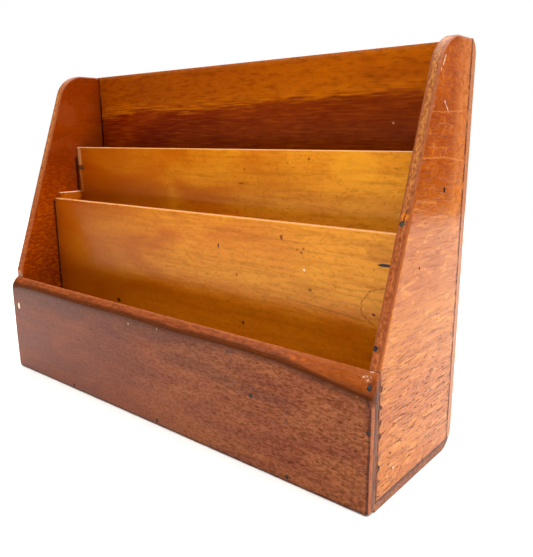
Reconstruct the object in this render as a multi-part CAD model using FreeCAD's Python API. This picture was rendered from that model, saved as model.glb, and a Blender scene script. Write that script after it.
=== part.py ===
import FreeCAD, Part
import os
from math import atan2, cos, sin, tan
from FreeCAD import Vector

# Desktop letter rack. Two shaped sides and the back stand on a base board. The front board, the base and the
# back are nailed to the edges of the sides. Two thin dividers are nailed between the sides, and a pair of
# upright spacers keeps the dividers apart.
# Millimetres. +X is to the right as seen from the front, +Y to the back and +Z up.
# The origin is on the surface that the rack stands on, under the middle of the rack.

# Overall size
WIDTH = 260.0
DEPTH = 76.0
HEIGHT = 183.0

# Thickness of each board
SIDE_THICKNESS = 5.0
FRONT_THICKNESS = 4.6
BACK_THICKNESS = 4.0
BASE_THICKNESS = 4.4
DIVIDER_THICKNESS = 3.0
SPACER_THICKNESS = 3.6

# Sides: the sloping front edge starts at the top of the front board and would reach the top of the side at
# the shoulder point, which is rounded off
SHOULDER_FROM_FRONT = 46.8
SHOULDER_RADIUS = 18.0
SIDE_ARRIS_RADIUS = 0.8

# Front board: its top edge is planed to a bevel across the whole thickness, with a soft lower arris.
# The bevel deepens over a stretch at the right end.
FRONT_HEIGHT = 59.0
BEVEL_DROP = 3.6
BEVEL_DROP_RIGHT = 8.0
ARRIS_DROP = 7.0
ARRIS_DROP_RIGHT = 9.5
ARRIS_SETBACK = 0.6
DEEP_BEVEL_LENGTH = 42.0

# Rear corners of the whole rack, rounded along its length through every board that reaches them
REAR_TOP_RADIUS = 6.5
REAR_BOTTOM_RADIUS = 9.7

# Dividers: distance of each front face behind the rack's front, top heights and the gap at the left end
FRONT_DIVIDER_FROM_FRONT = 31.8
FRONT_DIVIDER_TOP = 106.4
REAR_DIVIDER_FROM_FRONT = 50.6
REAR_DIVIDER_TOP = 138.2
DIVIDER_LEFT_GAP = 1.0
DIVIDER_ARRIS_RADIUS = 0.5

# Spacers between the dividers
SPACER_TOP = 109.8

# Nails: wire nails in the boards and finer pins in the spacers, heads punched just below the surface
NAIL_RADIUS = 0.6
NAIL_LENGTH = 18.0
STRAY_LEFT_NAIL_LENGTH = 13.0
PIN_RADIUS = 0.45
PIN_LENGTH = 7.0
HEAD_TO_SHANK = 1.7
HEAD_THICKNESS = 0.7
POINT_LENGTH = 2.0
PUNCH_DEPTH = 0.3

# Places of the nails
FRONT_NAIL_HEIGHTS_LEFT = (14.0, 41.0)
FRONT_NAIL_HEIGHT_RIGHT = 35.5
FRONT_NAIL_FROM_RIGHT_END = 1.4
BEVEL_NAIL_HEIGHT = 53.0
BEVEL_NAIL_SETBACK = 1.6
FRONT_BOTTOM_NAIL_PLACES = (-68.0, 6.0, 90.0)
BOTTOM_NAIL_HEIGHT = 2.7
BASE_NAIL_PLACES = (-18.0, 10.0)
BACK_NAIL_HEIGHTS = (13.0, 64.0, 115.0, 166.0)
FRONT_DIVIDER_NAIL_HEIGHTS = (30.0, 93.7)
REAR_DIVIDER_NAIL_HEIGHTS = (28.6, 70.5, 122.8)
STRAY_RIGHT_SLANT = 0.10
STRAY_RIGHT_FALL = 0.045
STRAY_LEFT_SLANT = 0.13
STRAY_LEFT_HEIGHT = 124.7
SPACER_PIN_HEIGHTS = (30.0, 92.0)
EDGE_NAIL_HEIGHTS = (66.7, 112.0)
EDGE_NAILS_FROM_OUTSIDE = (3.8, 3.0)

# Planes and directions worked out from the sizes above
FRONT_FACE = -DEPTH / 2
FRONT_INNER = FRONT_FACE + FRONT_THICKNESS
BACK_FACE = DEPTH / 2
BACK_INNER = BACK_FACE - BACK_THICKNESS
SIDE_OUTER = WIDTH / 2
SIDE_INNER = SIDE_OUTER - SIDE_THICKNESS
SIDE_MIDDLE = SIDE_OUTER - SIDE_THICKNESS / 2
FRONT_DIVIDER_FACE = FRONT_FACE + FRONT_DIVIDER_FROM_FRONT
FRONT_DIVIDER_REAR = FRONT_DIVIDER_FACE + DIVIDER_THICKNESS
REAR_DIVIDER_FACE = FRONT_FACE + REAR_DIVIDER_FROM_FRONT
SHOULDER_Y = FRONT_FACE + SHOULDER_FROM_FRONT
SLOPE_ANGLE = atan2(SHOULDER_Y - FRONT_INNER, HEIGHT - FRONT_HEIGHT)
TO_BACK = Vector(0, 1, 0)
TO_FRONT = Vector(0, -1, 0)
UPWARD = Vector(0, 0, 1)
TO_RIGHT = Vector(1, 0, 0)
TO_LEFT = Vector(-1, 0, 0)


def block(low, high):
    """Square-edged board between two corners."""
    size = Vector(*high) - Vector(*low)
    return Part.makeBox(size.x, size.y, size.z, Vector(*low))


def soften(solid, radius, chosen):
    """Round the edges of a solid that the test picks out."""
    return solid.makeFillet(radius, [edge for edge in solid.Edges if chosen(edge)])


def rounded_rear(board):
    """Board with what lies outside the rack's rounded rear corners taken off."""
    whole = block((-SIDE_OUTER, FRONT_FACE, 0), (SIDE_OUTER, BACK_FACE, HEIGHT))

    def rear_corner(edge, height):
        place = edge.CenterOfMass
        return abs(place.y - BACK_FACE) < 0.01 and abs(place.z - height) < 0.01

    whole = soften(whole, REAR_TOP_RADIUS, lambda edge: rear_corner(edge, HEIGHT))
    whole = soften(whole, REAR_BOTTOM_RADIUS, lambda edge: rear_corner(edge, 0))
    return board.common(whole)


def side_panel(left_face):
    """Side: upright foot behind the front board, sloping front edge, rounded shoulder and flat top."""
    foot = Vector(left_face, FRONT_INNER, BASE_THICKNESS)
    knee = Vector(left_face, FRONT_INNER, FRONT_HEIGHT)
    shoulder = Vector(left_face, SHOULDER_Y, HEIGHT)
    top_rear = Vector(left_face, BACK_INNER, HEIGHT)
    bottom_rear = Vector(left_face, BACK_INNER, BASE_THICKNESS)

    down_slope = (knee - shoulder).normalize()
    middle_line = (down_slope + TO_BACK).normalize()
    half_angle = down_slope.getAngle(TO_BACK) / 2
    arc_start = shoulder + down_slope * (SHOULDER_RADIUS / tan(half_angle))
    arc_end = shoulder + TO_BACK * (SHOULDER_RADIUS / tan(half_angle))
    arc_middle = shoulder + middle_line * (SHOULDER_RADIUS / sin(half_angle) - SHOULDER_RADIUS)

    outline = [
        Part.makeLine(foot, knee),
        Part.makeLine(knee, arc_start),
        Part.Arc(arc_start, arc_middle, arc_end).toShape(),
        Part.makeLine(arc_end, top_rear),
        Part.makeLine(top_rear, bottom_rear),
        Part.makeLine(bottom_rear, foot),
    ]
    panel = Part.Face(Part.Wire(outline)).extrude(TO_RIGHT * SIDE_THICKNESS)

    def on_open_edge(edge):
        place = edge.CenterOfMass
        return edge.BoundBox.XLength < 0.01 and place.z > FRONT_HEIGHT and place.y < BACK_INNER - 0.01

    return rounded_rear(soften(panel, SIDE_ARRIS_RADIUS, on_open_edge))


def front_section(x, bevel_drop, arris_drop):
    """Section across the front board: square foot, planed bevel and a soft arris below the bevel."""
    corners = [
        Vector(x, FRONT_FACE, 0),
        Vector(x, FRONT_FACE, FRONT_HEIGHT - arris_drop),
        Vector(x, FRONT_FACE + ARRIS_SETBACK, FRONT_HEIGHT - bevel_drop),
        Vector(x, FRONT_INNER, FRONT_HEIGHT),
        Vector(x, FRONT_INNER, 0),
    ]
    return Part.makePolygon(corners + corners[:1])


def front_board():
    """Front board, full width and down to the table, with the bevel deeper at its right end."""
    sections = [
        front_section(-SIDE_OUTER, BEVEL_DROP, ARRIS_DROP),
        front_section(SIDE_OUTER - DEEP_BEVEL_LENGTH, BEVEL_DROP, ARRIS_DROP),
        front_section(SIDE_OUTER, BEVEL_DROP_RIGHT, ARRIS_DROP_RIGHT),
    ]
    return Part.makeLoft(sections, True, True)


def back_board():
    """Back board, full width, standing on the base behind the sides."""
    return rounded_rear(block((-SIDE_OUTER, BACK_INNER, BASE_THICKNESS), (SIDE_OUTER, BACK_FACE, HEIGHT)))


def base_board():
    """Base, full width, behind the front board and under the sides and the back."""
    return rounded_rear(block((-SIDE_OUTER, FRONT_INNER, 0), (SIDE_OUTER, BACK_FACE, BASE_THICKNESS)))


def divider(face, top):
    """Thin divider standing on the base, tight to the right side and a little short of the left one."""
    low = (-SIDE_INNER + DIVIDER_LEFT_GAP, face, BASE_THICKNESS)
    board = block(low, (SIDE_INNER, face + DIVIDER_THICKNESS, top))

    def top_arris(edge):
        return edge.BoundBox.XLength > DIVIDER_THICKNESS and edge.CenterOfMass.z > top - 0.01

    return soften(board, DIVIDER_ARRIS_RADIUS, top_arris)


def spacer(left_face):
    """Upright strip on a side, filling the gap between the two dividers."""
    low = (left_face, FRONT_DIVIDER_REAR, BASE_THICKNESS)
    return block(low, (left_face + SPACER_THICKNESS, REAR_DIVIDER_FACE, SPACER_TOP))


def nail(surface, direction, length=NAIL_LENGTH, radius=NAIL_RADIUS):
    """Nail driven from a point on a surface: the nail itself and the hole that it sits in."""
    head_radius = radius * HEAD_TO_SHANK
    outline = [
        Vector(0, 0, PUNCH_DEPTH),
        Vector(head_radius, 0, PUNCH_DEPTH),
        Vector(head_radius, 0, PUNCH_DEPTH + HEAD_THICKNESS),
        Vector(radius, 0, PUNCH_DEPTH + HEAD_THICKNESS),
        Vector(radius, 0, length - POINT_LENGTH),
        Vector(0, 0, length),
    ]
    body = Part.Face(Part.makePolygon(outline + outline[:1])).revolve(Vector(), UPWARD, 360)
    above_head = Part.makeCylinder(head_radius, 2 * PUNCH_DEPTH, Vector(0, 0, -PUNCH_DEPTH))
    place = FreeCAD.Placement(surface, FreeCAD.Rotation(UPWARD, direction))
    body.Placement = place
    above_head.Placement = place.multiply(above_head.Placement)
    return body, body.fuse(above_head)


def front_nails():
    """Nails through the front board into the front edges of the sides and of the base."""
    left = [nail(Vector(-SIDE_MIDDLE, FRONT_FACE, z), TO_BACK) for z in FRONT_NAIL_HEIGHTS_LEFT]
    right = [
        nail(Vector(SIDE_OUTER - FRONT_NAIL_FROM_RIGHT_END, FRONT_FACE, FRONT_NAIL_HEIGHT_RIGHT), TO_BACK),
        nail(Vector(SIDE_MIDDLE, FRONT_FACE + BEVEL_NAIL_SETBACK, BEVEL_NAIL_HEIGHT), TO_BACK),
    ]
    bottom = [nail(Vector(x, FRONT_FACE, BOTTOM_NAIL_HEIGHT), TO_BACK) for x in FRONT_BOTTOM_NAIL_PLACES]
    return {"front_nails_left": left, "front_nails_right": right, "front_bottom_nails": bottom}


def base_nails():
    """Nails up through the base into the feet of the sides."""
    return {
        "base_nails_left": [nail(Vector(-SIDE_MIDDLE, y, 0), UPWARD) for y in BASE_NAIL_PLACES],
        "base_nails_right": [nail(Vector(SIDE_MIDDLE, y, 0), UPWARD) for y in BASE_NAIL_PLACES],
    }


def back_nails():
    """Nails through the back into the rear edges of the sides."""
    return {
        "back_nails_left": [nail(Vector(-SIDE_MIDDLE, BACK_FACE, z), TO_FRONT) for z in BACK_NAIL_HEIGHTS],
        "back_nails_right": [nail(Vector(SIDE_MIDDLE, BACK_FACE, z), TO_FRONT) for z in BACK_NAIL_HEIGHTS],
    }


def divider_nails():
    """Nails through the sides into the ends of the dividers. On the right of the front divider and on the
    left of the rear one, the top nail has strayed and its point breaks out of the divider's face."""
    front_y = FRONT_DIVIDER_FACE + DIVIDER_THICKNESS / 2
    rear_y = REAR_DIVIDER_FACE + DIVIDER_THICKNESS / 2
    front_top = FRONT_DIVIDER_NAIL_HEIGHTS[-1]
    slanted_left = Vector(-1, -STRAY_RIGHT_SLANT, -STRAY_RIGHT_FALL)
    slanted_right = Vector(1, -STRAY_LEFT_SLANT, 0)

    front_left = [nail(Vector(-SIDE_OUTER, front_y, z), TO_RIGHT) for z in FRONT_DIVIDER_NAIL_HEIGHTS]
    front_right = [nail(Vector(SIDE_OUTER, front_y, z), TO_LEFT) for z in FRONT_DIVIDER_NAIL_HEIGHTS[:-1]]
    front_right.append(nail(Vector(SIDE_OUTER, front_y, front_top), slanted_left))
    rear_left = [nail(Vector(-SIDE_OUTER, rear_y, z), TO_RIGHT) for z in REAR_DIVIDER_NAIL_HEIGHTS[:-1]]
    stray_head = Vector(-SIDE_OUTER, rear_y, STRAY_LEFT_HEIGHT)
    rear_left.append(nail(stray_head, slanted_right, STRAY_LEFT_NAIL_LENGTH))
    rear_right = [nail(Vector(SIDE_OUTER, rear_y, z), TO_LEFT) for z in REAR_DIVIDER_NAIL_HEIGHTS]
    return {
        "front_divider_nails_left": front_left,
        "front_divider_nails_right": front_right,
        "rear_divider_nails_left": rear_left,
        "rear_divider_nails_right": rear_right,
    }


def spacer_pins():
    """Short pins through the spacers into the sides."""
    middle = (FRONT_DIVIDER_REAR + REAR_DIVIDER_FACE) / 2
    face = SIDE_INNER - SPACER_THICKNESS
    left = [nail(Vector(-face, middle, z), TO_LEFT, PIN_LENGTH, PIN_RADIUS) for z in SPACER_PIN_HEIGHTS]
    right = [nail(Vector(face, middle, z), TO_RIGHT, PIN_LENGTH, PIN_RADIUS) for z in SPACER_PIN_HEIGHTS]
    return {"spacer_pins_left": left, "spacer_pins_right": right}


def side_edge_nails():
    """Two nails driven square into the right side's sloping edge, to close a split."""
    inward = Vector(0, cos(SLOPE_ANGLE), -sin(SLOPE_ANGLE))

    def on_slope(setback, z):
        return Vector(SIDE_OUTER - setback, FRONT_INNER + (z - FRONT_HEIGHT) * tan(SLOPE_ANGLE), z)

    places = zip(EDGE_NAILS_FROM_OUTSIDE, EDGE_NAIL_HEIGHTS)
    return {"side_edge_nails": [nail(on_slope(setback, z), inward) for setback, z in places]}


def drilled(board, holes):
    """Board with the holes of the nails that pass through it."""
    return board.cut([hole for hole in holes if hole.BoundBox.intersect(board.BoundBox)])


boards = {
    "left_side": side_panel(-SIDE_OUTER),
    "right_side": side_panel(SIDE_INNER),
    "front_board": front_board(),
    "back_board": back_board(),
    "base_board": base_board(),
    "front_divider": divider(FRONT_DIVIDER_FACE, FRONT_DIVIDER_TOP),
    "rear_divider": divider(REAR_DIVIDER_FACE, REAR_DIVIDER_TOP),
    "spacer_left": spacer(-SIDE_INNER),
    "spacer_right": spacer(SIDE_INNER - SPACER_THICKNESS),
}
nail_rows = {}
for row_maker in (front_nails, base_nails, back_nails, divider_nails, spacer_pins, side_edge_nails):
    nail_rows.update(row_maker())
nail_holes = [hole for row in nail_rows.values() for body, hole in row]

os.makedirs("parts", exist_ok=True)
for name, board in boards.items():
    drilled(board, nail_holes).exportStep("parts/" + name + ".step")
for name, row in nail_rows.items():
    Part.makeCompound([body for body, hole in row]).exportStep("parts/" + name + ".step")
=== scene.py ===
import math

import bmesh
import bpy
from mathutils import Matrix, Vector, noise


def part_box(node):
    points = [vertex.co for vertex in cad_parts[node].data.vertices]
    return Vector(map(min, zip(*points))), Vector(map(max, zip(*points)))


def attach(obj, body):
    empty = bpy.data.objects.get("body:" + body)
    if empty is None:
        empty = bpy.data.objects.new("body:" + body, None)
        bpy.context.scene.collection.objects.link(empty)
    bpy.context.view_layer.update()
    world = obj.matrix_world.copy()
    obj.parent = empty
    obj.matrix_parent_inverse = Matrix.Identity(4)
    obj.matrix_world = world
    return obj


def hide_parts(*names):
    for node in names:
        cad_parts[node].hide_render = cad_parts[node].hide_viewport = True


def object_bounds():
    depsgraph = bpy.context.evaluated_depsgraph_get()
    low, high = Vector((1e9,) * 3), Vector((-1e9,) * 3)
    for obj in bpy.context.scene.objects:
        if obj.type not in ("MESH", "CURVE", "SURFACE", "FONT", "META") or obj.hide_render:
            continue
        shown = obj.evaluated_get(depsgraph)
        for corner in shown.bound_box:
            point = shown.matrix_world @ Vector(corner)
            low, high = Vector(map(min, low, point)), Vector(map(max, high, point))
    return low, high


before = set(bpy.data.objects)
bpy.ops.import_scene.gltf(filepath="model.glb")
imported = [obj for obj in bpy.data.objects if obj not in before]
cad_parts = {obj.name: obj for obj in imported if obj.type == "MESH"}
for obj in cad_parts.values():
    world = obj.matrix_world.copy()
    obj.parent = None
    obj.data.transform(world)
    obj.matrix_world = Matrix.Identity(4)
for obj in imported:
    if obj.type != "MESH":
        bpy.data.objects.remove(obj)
cad_low, cad_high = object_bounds()

# Looks of a worn, nailed letter rack: two oak sides, a red-brown front board, a dark back, a plain base and
# two honey-coloured dividers. Every board is a new mesh with rubbed arrises, chips, ragged seams and nail
# pits, in the place of its CAD node. The nails are the CAD nodes themselves.
# Metres, in the frame of the CAD part: +X right, +Y back, +Z up, with the table at z = 0.

MM = 0.001
BODY = "root"

# Boards: thicknesses, and places from the boxes of their CAD nodes
SIDE_THICKNESS = 5.0 * MM
DIVIDER_THICKNESS = 3.0 * MM
FRONT_LOW, FRONT_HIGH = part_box("front_board")
BASE_LOW, BASE_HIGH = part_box("base_board")
HALF_WIDTH = FRONT_HIGH.x
SIDE_INNER = BASE_HIGH.x - SIDE_THICKNESS
SIDE_FRONT = FRONT_HIGH.y
SIDE_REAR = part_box("back_board")[0].y
SIDE_FOOT = BASE_HIGH.z
FRONT_DIVIDER_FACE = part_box("front_divider")[1].y - DIVIDER_THICKNESS
REAR_DIVIDER_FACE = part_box("rear_divider")[1].y - DIVIDER_THICKNESS
KNEE = FRONT_HIGH.z
TOP = cad_high.z
REAR = cad_high.y

# Side profile, and the rounded rear corners that run through the sides, the back and the base
SHOULDER = FRONT_LOW.y + 46.8 * MM
SHOULDER_RADIUS = 18 * MM
SHOULDER_STEPS = 24
REAR_TOP_RADIUS = 6.5 * MM
REAR_BOTTOM_RADIUS = 9.7 * MM
SLOPE = Vector((0, SHOULDER - SIDE_FRONT, TOP - KNEE)).normalized()
LEFT_KNEE_RISE = 4 * MM

# Wear of the sides: arrises of open edges and of seams, the shoulder's wear and the left side's share
SIDE_CORNER = 0.4 * MM
OUTER_ARRIS = 0.8 * MM
INNER_ARRIS = 1.1 * MM
SEAM_ARRIS = 0.3 * MM
TIGHT_ARRIS = 0.2 * MM
FRONT_SEAM_TICK = 0.3 * MM
REAR_SEAM_TICK = 0.7 * MM
SHOULDER_WEAR_HEIGHT = 172 * MM
SHOULDER_WEAR_REACH = 14 * MM
LEFT_RUB = 0.5

# Front board: drop of the planed bevel along the board, its soft lower arris and the worn ends
BEVEL_DROP = 3.9 * MM
BEVEL_DROP_RIGHT = 9.8 * MM
BEVEL_WAVER = 0.5 * MM
DEEP_BEVEL_LENGTH = 46 * MM
SOFT_ARRIS = 1.5 * MM
SOFT_ARRIS_RIGHT = 1.0 * MM
SOFT_ARRIS_LEFT = 3.5 * MM
LEFT_END_ARRIS = (0.6 * MM, 0.6 * MM)
RIGHT_END_ARRIS = (0.8 * MM, 2.2 * MM)
REAR_END_ARRIS = (0.5 * MM, 0.5 * MM)
FRONT_CORNER_RADIUS = 2.4 * MM
LEFT_END_BOW = 0.8 * MM
LEFT_WEAR_LENGTH = 12 * MM

# Mesh fineness, and the band beside an arris over which wear, dirt and painted shade fade
OUTLINE_STEP = 0.35 * MM
STATION_STEP = 1.5 * MM
FACE_STEP = 1.5 * MM
ARRIS_STEPS = 5
CORNER_STEPS = 6
FACE_BAND = 0.5 * MM
MERGE_DISTANCE = 0.01 * MM
SHARP_ANGLE = math.radians(40)

# Dividers: rounding, the left end's play and most lean, and a nick in the front one's left arris
DIVIDER_CORNER = 0.8 * MM
DIVIDER_PLAY = 0.1 * MM
MOST_LEAN = 1.7 * MM
DIVIDER_NICK = Vector((-124.6, -6.2, 93)) * MM

# Nail pits
PIT_DEPTH = 0.2 * MM
PIT_REACH = 1.5 * MM
PIT_SIDES = 14

# Single marks, in millimetres: how deep a spot on a flat face reaches, and how far noise shakes it
SPOT_DEPTH = 2
SHAKE = 1.3

# Camera: place, turn about the vertical, tilt down and roll, and the focal length in pixels of the frame
IMAGE_LONG_SIDE = 557
SENSOR = 36.0
FOCAL_PIXELS = 610.0
CAMERA_PLACE = Vector((233.36, -223.73, 144.66)) * MM
CAMERA_TURN = math.radians(39.676)
CAMERA_TILT = math.radians(13.161)
CAMERA_ROLL = math.radians(-0.324)

# Light: middle of the bright sky and of the white backdrop, and the floor's edge before the dark horizon
SKY_MIDDLE = Vector((0.20, 0.05, 0.98)).normalized()
BACKDROP_MIDDLE = Vector((-0.50, 0.86, 0.10)).normalized()
FLOOR_RADIUS = 0.95

TO_BACK = Vector((0, 1, 0))
TO_FRONT = Vector((0, -1, 0))
TO_RIGHT = Vector((1, 0, 0))
TO_LEFT = Vector((-1, 0, 0))
UPWARD = Vector((0, 0, 1))


# Outlines

def rounded_outline(corners, reaches, steps=CORNER_STEPS):
    """Closed outline through 2-D corners, each rounded by an arc that starts its reach before the corner."""
    points = []
    for i, corner in enumerate(corners):
        if not reaches[i]:
            points.append(corner.copy())
            continue
        to_last = (corners[i - 1] - corner).normalized()
        to_next = (corners[(i + 1) % len(corners)] - corner).normalized()
        half = to_last.angle(to_next) / 2
        centre = corner + (to_last + to_next).normalized() * (reaches[i] / math.cos(half))
        first = corner + to_last * reaches[i] - centre
        last = corner + to_next * reaches[i] - centre
        radius = first.length
        points += [centre + first.slerp(last, k / steps) * radius for k in range(steps + 1)]
    return points


def arc(centre, radius, first, last, steps=CORNER_STEPS):
    """Points of an arc between two angles."""
    angles = [first + (last - first) * k / steps for k in range(steps + 1)]
    return [centre + Vector((math.cos(angle), math.sin(angle))) * radius for angle in angles]


def pieces(points, step):
    """How many steps of about that length each side of a closed outline takes."""
    return [max(1, round((end - start).length / step)) for start, end in zip(points, points[1:] + points[:1])]


def divided(points, counts):
    """The closed outline again, with each side in that many steps."""
    sides = zip(points, points[1:] + points[:1], counts)
    return [start.lerp(end, k / count) for start, end, count in sides for k in range(count)]


def evenly(points, step):
    """The closed outline again, as points at an even spacing."""
    ends = points[1:] + points[:1]
    lengths = [(end - start).length for start, end in zip(points, ends)]
    total = sum(lengths)
    count = round(total / step)
    even = []
    run = 0.0
    i = 0
    for k in range(count):
        target = total * k / count
        while run + lengths[i] < target:
            run += lengths[i]
            i += 1
        even.append(points[i].lerp(ends[i], (target - run) / lengths[i]))
    return even


def outward(points):
    """Outward normal at each point of a counter-clockwise closed outline."""
    count = len(points)
    runs = [points[(i + 1) % count] - points[i - 1] for i in range(count)]
    return [Vector((run.y, -run.x)).normalized() for run in runs]


def drawn_in(point, normal, distance, corners):
    """Outline point moved inwards and kept that far from every straight edge between the corners."""
    spot = point - normal * distance
    for i, corner in enumerate(corners):
        run = (corners[(i + 1) % len(corners)] - corner).normalized()
        inward = Vector((-run.y, run.x))
        short = distance - (spot - corner).dot(inward)
        if short > 0:
            spot = spot + inward * short
    return spot


def ripple(point, size, seed=0.0):
    """Smooth repeatable noise from -1 to 1 with features of about that size."""
    return noise.noise(Vector(point).to_3d() / size + Vector((seed, seed, seed)))


def chips(point, size, seed=0.0):
    """0 along most of an edge, rising towards 1 in scattered chips of about that size."""
    return max(0.0, ripple(point, size, seed) - 0.12)


def smooth_step(low, high, value):
    """0 below low, 1 above high and an even S between."""
    t = min(max((value - low) / (high - low), 0.0), 1.0)
    return t * t * (3 - 2 * t)


# Meshes

def added(name, data):
    """New object in the scene."""
    made = bpy.data.objects.new(name, data)
    bpy.context.scene.collection.objects.link(made)
    return made


def mesh_of_rings(name, rings, wear, dirt_and_shade):
    """Closed mesh over a run of rings with flat caps, carrying the wear, and the dirt with painted shade, of
    every point.
    """
    count = len(rings[0])
    faces = []
    for r in range(len(rings) - 1):
        for i in range(count):
            a = r * count + i
            b = r * count + (i + 1) % count
            faces.append((a, b, b + count, a + count))
    last = (len(rings) - 1) * count
    faces.append(tuple(reversed(range(count))))
    faces.append(tuple(range(last, last + count)))
    mesh = bpy.data.meshes.new(name)
    mesh.from_pydata([point for ring in rings for point in ring], [], faces)
    for key, marks in (("wear", wear), ("dirt_and_shade", dirt_and_shade)):
        values = [mark for ring in marks for mark in ring]
        mesh.attributes.new(key, "FLOAT", "POINT").data.foreach_set("value", values)
    shape = bmesh.new()
    shape.from_mesh(mesh)
    bmesh.ops.remove_doubles(shape, verts=shape.verts, dist=MERGE_DISTANCE)
    bmesh.ops.recalc_face_normals(shape, faces=shape.faces)
    shape.to_mesh(mesh)
    shape.free()
    return mesh


def arris_angles():
    """Angles round a quarter arris, from the face to the edge."""
    return [math.pi / 2 * k / ARRIS_STEPS for k in range(ARRIS_STEPS + 1)]


def slab(name, corners, reaches, place, faces, arris, steps=CORNER_STEPS):
    """Flat board between two faces, its outline rounded at the corners. place(u, v, w) is a point of the
    frame; arris(point) gives the arris radius at each face, how rubbed it is, and how much dirt and painted
    shade it gets."""
    points = evenly(rounded_outline(corners, reaches, steps), OUTLINE_STEP)
    edge = list(zip(points, outward(points), [arris(point) for point in points]))
    rings, wear, dirt_and_shade = [], [], []

    def add_ring(side, angle):
        step = 1 if faces[1 - side] > faces[side] else -1
        rings.append([])
        for point, normal, mark in edge:
            spot = drawn_in(point, normal, mark[side] * (1 - math.sin(angle)), corners)
            rings[-1].append(place(spot.x, spot.y, faces[side] + step * mark[side] * (1 - math.cos(angle))))
        wear.append([mark[2] * math.sin(2 * angle) for point, normal, mark in edge])
        dirt_and_shade.append([mark[3] for point, normal, mark in edge])

    def add_band(side):
        spots = [drawn_in(point, normal, mark[side] + FACE_BAND, corners) for point, normal, mark in edge]
        rings.append([place(spot.x, spot.y, faces[side]) for spot in spots])
        wear.append([0.0] * len(edge))
        dirt_and_shade.append([0.0] * len(edge))

    add_band(0)
    for angle in arris_angles():
        add_ring(0, angle)
    for angle in reversed(arris_angles()):
        add_ring(1, angle)
    add_band(1)
    return mesh_of_rings(name, rings, wear, dirt_and_shade)


def plank(name, section, marks, left_arris, right_arris, place=Vector):
    """Board along X between the rack's two ends. section(x, shrink) gives the corners across Y and Z, drawn
    in by the shrink on the open sides, and the reach of each one's rounding; marks(x, point) gives wear, and
    dirt with painted shade; each end's arris has a size along X and one across; place turns (x, y, z) into a
    point."""
    rings, wear, dirt_and_shade = [], [], []
    counts = pieces(rounded_outline(*section(0.0, 0.0)), FACE_STEP)

    def add_ring(x, shrink, sheen_patch):
        points = divided(rounded_outline(*section(x, shrink)), counts)
        rings.append([place((x, point.x, point.y)) for point in points])
        wear.append([max(marks(x, point)[0], sheen_patch) for point in points])
        dirt_and_shade.append([marks(x, point)[1] for point in points])

    low = -HALF_WIDTH + left_arris[0]
    high = HALF_WIDTH - right_arris[0]
    stations = round((high - low) / STATION_STEP)
    for angle in arris_angles():
        add_ring(low - left_arris[0] * math.cos(angle), left_arris[1] * (1 - math.sin(angle)), 0.0)
    for k in range(1, stations):
        add_ring(low + (high - low) * k / stations, 0.0, 0.0)
    for angle in reversed(arris_angles()):
        shrink = right_arris[1] * (1 - math.sin(angle))
        add_ring(high + right_arris[0] * math.cos(angle), shrink, math.sin(2 * angle))
    return mesh_of_rings(name, rings, wear, dirt_and_shade)


def cutter(first, last):
    """Closed mesh between two rings of the same number of points."""
    shape = bmesh.new()
    top = [shape.verts.new(point) for point in first]
    deep = [shape.verts.new(point) for point in last]
    count = len(top)
    for k in range(count):
        n = (k + 1) % count
        shape.faces.new((top[k], top[n], deep[n], deep[k]))
    shape.faces.new(reversed(top))
    shape.faces.new(deep)
    bmesh.ops.recalc_face_normals(shape, faces=shape.faces)
    mesh = bpy.data.meshes.new("cutter")
    shape.to_mesh(mesh)
    shape.free()
    return mesh


def pit(spot, inwards, radius):
    """Cutter for an uneven round pit, from outside the surface to a depth below the spot."""
    turn = inwards.to_track_quat("Z", "Y").to_matrix()

    def ring(level, share):
        points = []
        for k in range(PIT_SIDES):
            angle = 2 * math.pi * k / PIT_SIDES
            way = Vector((math.cos(angle), math.sin(angle), 0))
            uneven = 1 + 0.22 * ripple(spot + way * radius, 1.1 * MM)
            points.append(spot + turn @ (way * radius * share * uneven + Vector((0, 0, level))))
        return points

    return cutter(ring(-PIT_REACH, 1.15), ring(PIT_DEPTH, 0.9))


def nail_heads(node, inwards):
    """Middle of each nail head in a CAD node of nails that are driven about that way, from the lowest up."""
    shape = bmesh.new()
    shape.from_mesh(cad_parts[node].data)
    bmesh.ops.remove_doubles(shape, verts=shape.verts, dist=MERGE_DISTANCE)
    heads = []
    seen = set()
    for start in shape.verts:
        if start in seen:
            continue
        seen.add(start)
        island = [start]
        for vert in island:
            for edge in vert.link_edges:
                other = edge.other_vert(vert)
                if other not in seen:
                    seen.add(other)
                    island.append(other)
        nearest = min(vert.co.dot(inwards) for vert in island)
        cap = [vert.co for vert in island if vert.co.dot(inwards) < nearest + PIT_DEPTH]
        heads.append(sum(cap, Vector()) / len(cap))
    shape.free()
    return sorted(heads, key=lambda head: (round(head.z, 5), round(head.x, 5)))


def pits(node, inwards, radii):
    """Pit cutters over a row of nails, radii in millimetres from the lowest up; 0 leaves a nail covered."""
    heads = nail_heads(node, inwards)
    return [pit(head, inwards, radius * MM) for head, radius in zip(heads, radii) if radius]


def carve(target, cutters):
    """Takes every cutter out of the object's mesh."""
    for mesh in cutters:
        mesh.materials.append(pit_dirt)
        tool = added("cutter", mesh)
        cut = target.modifiers.new("cut", "BOOLEAN")
        cut.operation = "DIFFERENCE"
        cut.solver = "EXACT"
        cut.material_mode = "TRANSFER"
        cut.object = tool
        view = bpy.context.evaluated_depsgraph_get()
        carved = bpy.data.meshes.new_from_object(target.evaluated_get(view))
        target.modifiers.clear()
        target.data = carved
        bpy.data.objects.remove(tool)


def board(node, mesh, material, cutters):
    """Finished board that stands for a CAD node."""
    made = added(node + "_timber", mesh)
    mesh.materials.append(material)
    carve(made, cutters)
    made.data.shade_smooth()
    made.data.set_sharp_from_angle(angle=SHARP_ANGLE)
    even = made.modifiers.new("even_normals", "WEIGHTED_NORMAL")
    even.keep_sharp = True
    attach(made, BODY)
    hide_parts(node)


# Materials

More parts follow.
